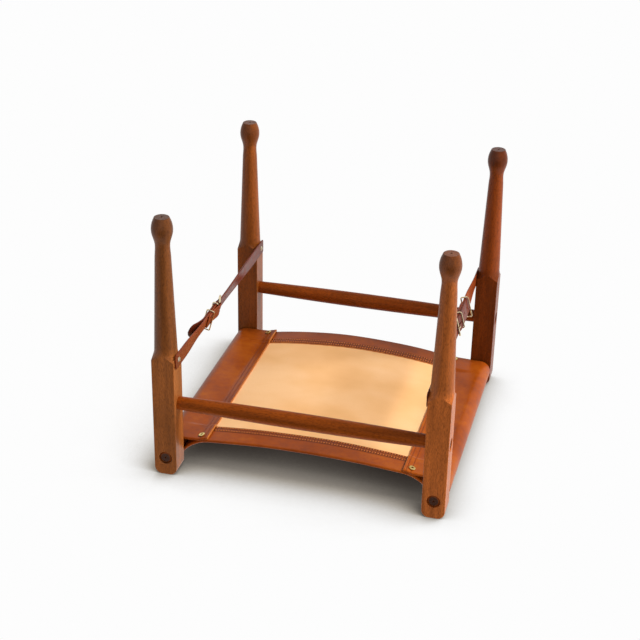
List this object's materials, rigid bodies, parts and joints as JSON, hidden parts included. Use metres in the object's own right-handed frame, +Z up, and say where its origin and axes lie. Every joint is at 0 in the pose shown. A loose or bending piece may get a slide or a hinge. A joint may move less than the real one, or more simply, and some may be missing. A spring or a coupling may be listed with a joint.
{
  "type": "knock-down stool",
  "caption": "Low square stool with turned legs, loose stretchers and a slung leather seat on rods, held by buckled straps between the front and rear legs.",
  "frame": {"origin": "on the floor under the middle of the seat", "axes": "+Z up from the feet; +X to the right along the stretchers; +Y to the rear along the seat rods"},
  "size_m": [0.46, 0.462, 0.429],
  "materials": {
    "leg_wood": "oiled dark hardwood, fine pores",
    "stretcher_wood": "oiled dark hardwood, fine pores",
    "rod_wood": "oiled dark hardwood",
    "seat_leather": "smooth tan saddle leather, pale suede underside",
    "strap_leather": "smooth brown strap leather",
    "buckle_brass": "polished wire",
    "eyelet_brass": "satin",
    "screw_brass": "satin"
  },
  "bodies": {
    "front_frame": {"front_left_leg": "leg_wood", "front_right_leg": "leg_wood", "front_strap_screws": "screw_brass", "right_buckle_strap": "strap_leather", "right_buckle_frame": "buckle_brass", "right_fixed_keeper": "buckle_brass", "left_tail_strap": "strap_leather"},
    "rear_frame": {"rear_left_leg": "leg_wood", "rear_right_leg": "leg_wood", "rear_strap_screws": "screw_brass", "left_buckle_strap": "strap_leather", "left_buckle_frame": "buckle_brass", "left_fixed_keeper": "buckle_brass", "right_tail_strap": "strap_leather"},
    "seat": {"seat_leather": "seat_leather", "seat_eyelets": "eyelet_brass"},
    "left_rod": {"left_seat_rod": "rod_wood"},
    "right_rod": {"right_seat_rod": "rod_wood"},
    "front_rail": {"front_stretcher": "stretcher_wood"},
    "rear_rail": {"rear_stretcher": "stretcher_wood"},
    "right_prong": {"right_buckle_prong": "buckle_brass"},
    "left_prong": {"left_buckle_prong": "buckle_brass"},
    "right_keeper": {"right_loose_keeper": "buckle_brass"},
    "left_keeper": {"left_loose_keeper": "buckle_brass"}
  },
  "joints": [
    {"name": "legs_apart", "type": "slide", "parent": "front_frame", "child": "rear_frame", "axis": [0, 1, 0], "range_m": [0, 0.08], "deforming": ["left_tail_strap", "right_tail_strap"]},
    {"name": "seat_slide", "type": "slide", "parent": "front_frame", "child": "seat", "axis": [0, 1, 0], "range_m": [0, 0.0401]},
    {"name": "left_rod_turn", "type": "hinge", "parent": "seat", "child": "left_rod", "pos_m": [-0.212, 0, 0.3995], "axis": [0, 1, 0], "continuous": true},
    {"name": "right_rod_turn", "type": "hinge", "parent": "seat", "child": "right_rod", "pos_m": [0.212, 0, 0.3995], "axis": [0, 1, 0], "continuous": true},
    {"name": "front_stretcher_turn", "type": "hinge", "parent": "front_frame", "child": "front_rail", "pos_m": [0, -0.213, 0.307], "axis": [1, 0, 0], "continuous": true},
    {"name": "rear_stretcher_turn", "type": "hinge", "parent": "rear_frame", "child": "rear_rail", "pos_m": [0, 0.213, 0.307], "axis": [1, 0, 0], "continuous": true},
    {"name": "right_prong_lift", "type": "hinge", "parent": "front_frame", "child": "right_prong", "pos_m": [0.19, -0.033, 0.23174], "axis": [-0.2588, 0, -0.9659], "range_deg": [0, 75]},
    {"name": "left_prong_lift", "type": "hinge", "parent": "rear_frame", "child": "left_prong", "pos_m": [-0.19, 0.033, 0.23174], "axis": [0.2588, 0, -0.9659], "range_deg": [0, 75]},
    {"name": "right_keeper_slide", "type": "slide", "parent": "front_frame", "child": "right_keeper", "axis": [0, -1, 0], "range_m": [-0.013, 0.032]},
    {"name": "left_keeper_slide", "type": "slide", "parent": "rear_frame", "child": "left_keeper", "axis": [0, -1, 0], "range_m": [0, 0.042]}
  ],
  "couplings": [
    {"joint": "seat_slide", "follows": "legs_apart", "ratio": 0.5},
    {"joint": "right_prong_lift", "follows": "legs_apart", "rad_per_m": 16.361},
    {"joint": "left_prong_lift", "follows": "legs_apart", "rad_per_m": 16.361}
  ]
}
